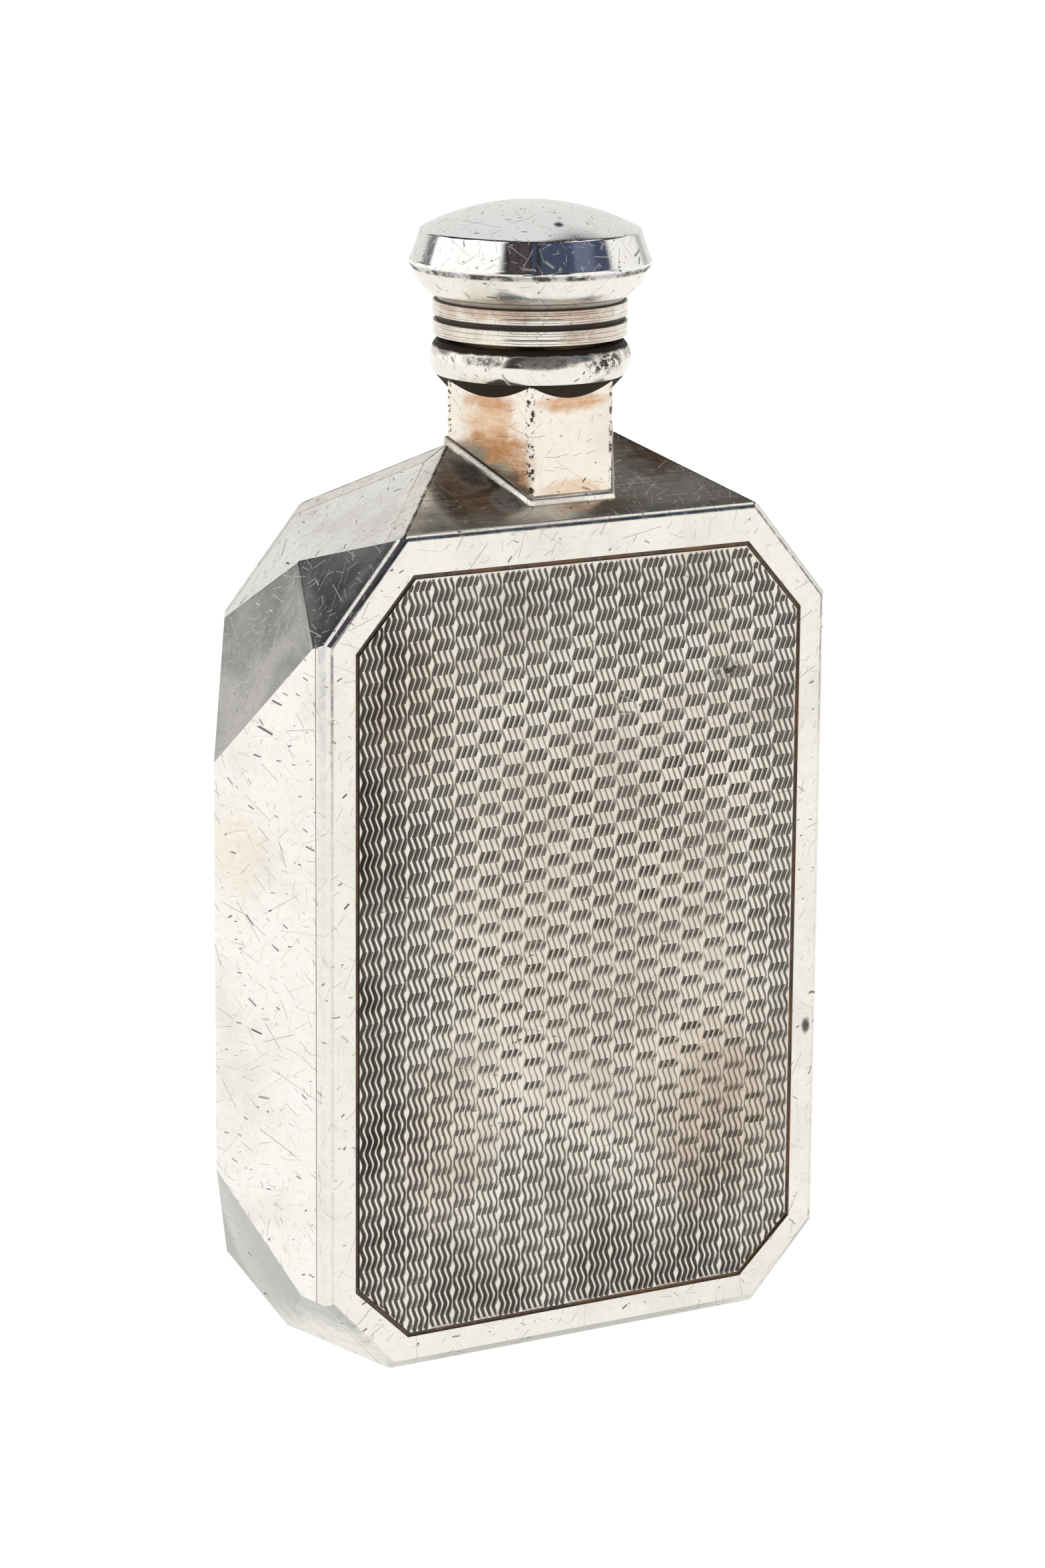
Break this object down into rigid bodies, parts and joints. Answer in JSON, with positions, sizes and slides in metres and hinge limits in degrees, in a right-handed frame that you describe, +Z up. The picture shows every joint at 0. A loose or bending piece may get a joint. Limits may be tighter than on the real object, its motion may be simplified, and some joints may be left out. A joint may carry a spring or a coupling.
{
  "type": "hip flask",
  "caption": "Faceted metal pocket flask with a six sided neck and a mushroom shaped screw cap on a threaded spout, with a cork liner.",
  "frame": {"origin": "middle of the flat base", "axes": "+Z up along the neck and cap, -Y out of the engraved front face, +X to the right seen from the front"},
  "size_m": [0.0804, 0.0276, 0.13],
  "materials": {
    "silver_plate": "worn silver plate, polished with fine scratches and tarnish",
    "engraved_plate": "engine turned silver plate, satin from wear",
    "soft_solder": "dull grey solder",
    "spout_brass": "satin",
    "cork": "matte",
    "tin_disc": "satin"
  },
  "bodies": {
    "flask": {"front_pressing": "engraved_plate", "back_pressing": "engraved_plate", "left_side_strip": "silver_plate", "right_side_strip": "silver_plate", "base_plate": "silver_plate", "hex_neck": "silver_plate", "neck_solder": "soft_solder", "collar_solder": "soft_solder", "collar_ring": "silver_plate", "threaded_spout": "spout_brass"},
    "liner": {"cork_liner": "cork", "liner_disc": "tin_disc"},
    "cap": {"cap_crown": "silver_plate", "cap_underside": "silver_plate", "cap_skirt": "silver_plate", "cap_thread_sleeve": "spout_brass"}
  },
  "joints": [
    {"name": "cap_lift", "type": "slide", "parent": "flask", "child": "liner", "axis": [0, 0, 1], "range_m": [-0.00041, 0.01401]},
    {"name": "cap_turn", "type": "hinge", "parent": "liner", "child": "cap", "pos_m": [0, 0, 0.12], "axis": [0, 0, 1], "range_deg": [-80, 2800]}
  ],
  "couplings": [
    {"joint": "cap_lift", "follows": "cap_turn", "m_per_rad": 0.00028648}
  ]
}
